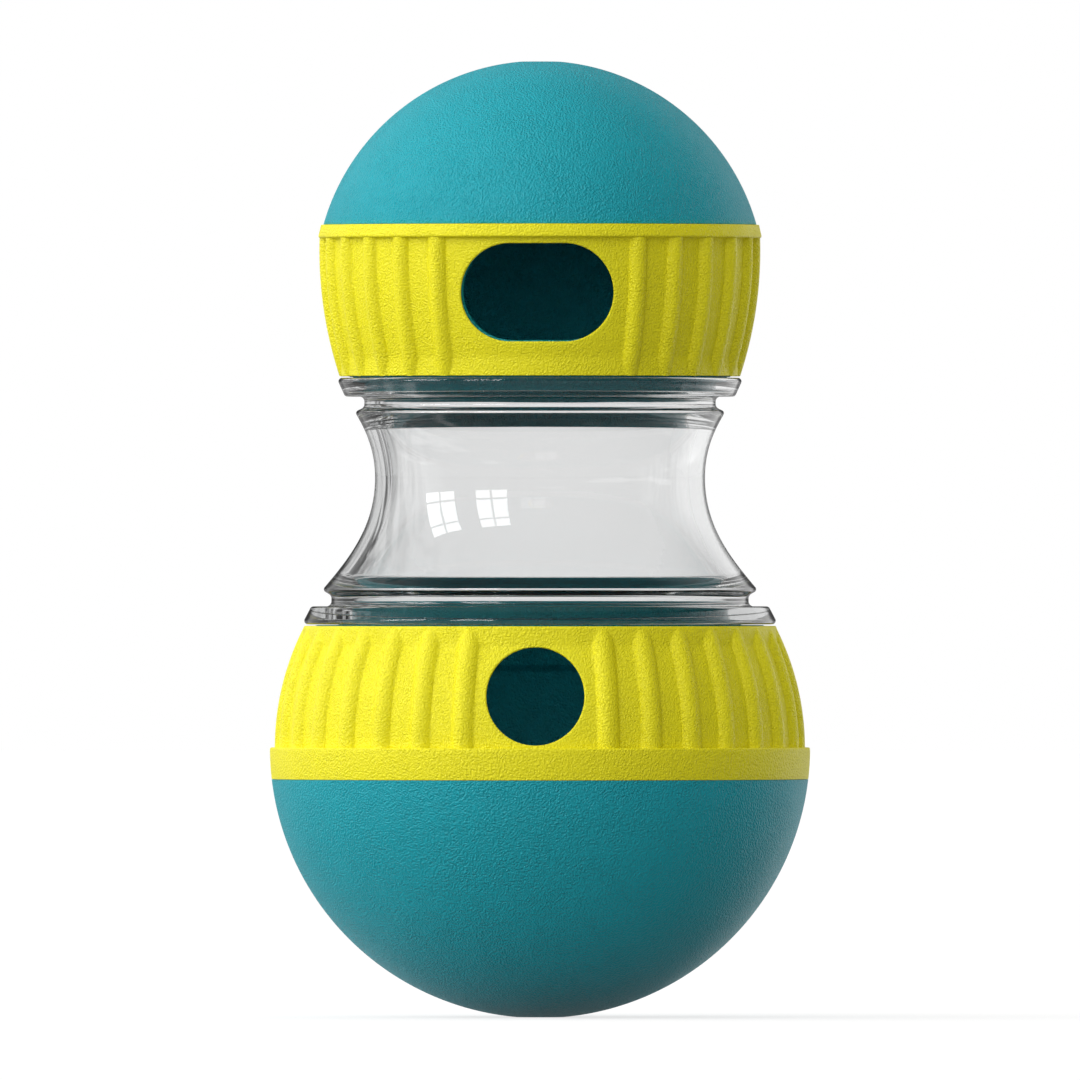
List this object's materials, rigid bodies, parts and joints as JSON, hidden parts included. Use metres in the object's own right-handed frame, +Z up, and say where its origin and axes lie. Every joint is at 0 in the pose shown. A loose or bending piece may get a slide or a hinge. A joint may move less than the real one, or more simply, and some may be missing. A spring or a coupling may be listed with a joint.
{
  "type": "wobble treat toy",
  "caption": "Round-bottomed weighted treat toy: a clear hourglass hopper between two hollow balls, each with a turning ribbed ring that opens or shuts a treat outlet.",
  "frame": {"origin": "the middle of the small flat at the lowest point of the weighted ball, on the toy's axis", "axes": "+Z up along the toy's axis, -Y towards the side that the treat outlets face at rest, +X to the right seen from that side"},
  "size_m": [0.104, 0.104, 0.1839],
  "materials": {
    "teal_plastic": "fine moulded grain, satin",
    "yellow_plastic": "fine moulded grain, satin",
    "clear_plastic": "polished, clear",
    "grey_plastic": "plain moulded",
    "cast_iron": "as cast",
    "screw_steel": "zinc plated"
  },
  "bodies": {
    "base": {"bottom_bowl": "teal_plastic", "counterweight": "cast_iron", "weight_plate": "grey_plastic", "weight_screws": "screw_steel", "chamber_floor": "teal_plastic", "lower_cup": "teal_plastic"},
    "lower_ring": {"lower_ring": "yellow_plastic"},
    "hopper": {"hopper_body": "clear_plastic"},
    "head": {"upper_cup": "teal_plastic", "top_dome": "teal_plastic"},
    "upper_ring": {"upper_ring": "yellow_plastic"}
  },
  "joints": [
    {"name": "lower_ring_turn", "type": "hinge", "parent": "base", "child": "lower_ring", "pos_m": [0, 0, 0.0605], "axis": [0, 0, 1], "continuous": true},
    {"name": "hopper_lift", "type": "slide", "parent": "base", "child": "hopper", "axis": [0, 0, 1], "range_m": [0, 0.06]},
    {"name": "head_lift", "type": "slide", "parent": "hopper", "child": "head", "axis": [0, 0, 1], "range_m": [0, 0.06]},
    {"name": "upper_ring_turn", "type": "hinge", "parent": "head", "child": "upper_ring", "pos_m": [0, 0, 0.1381], "axis": [0, 0, 1], "continuous": true}
  ]
}
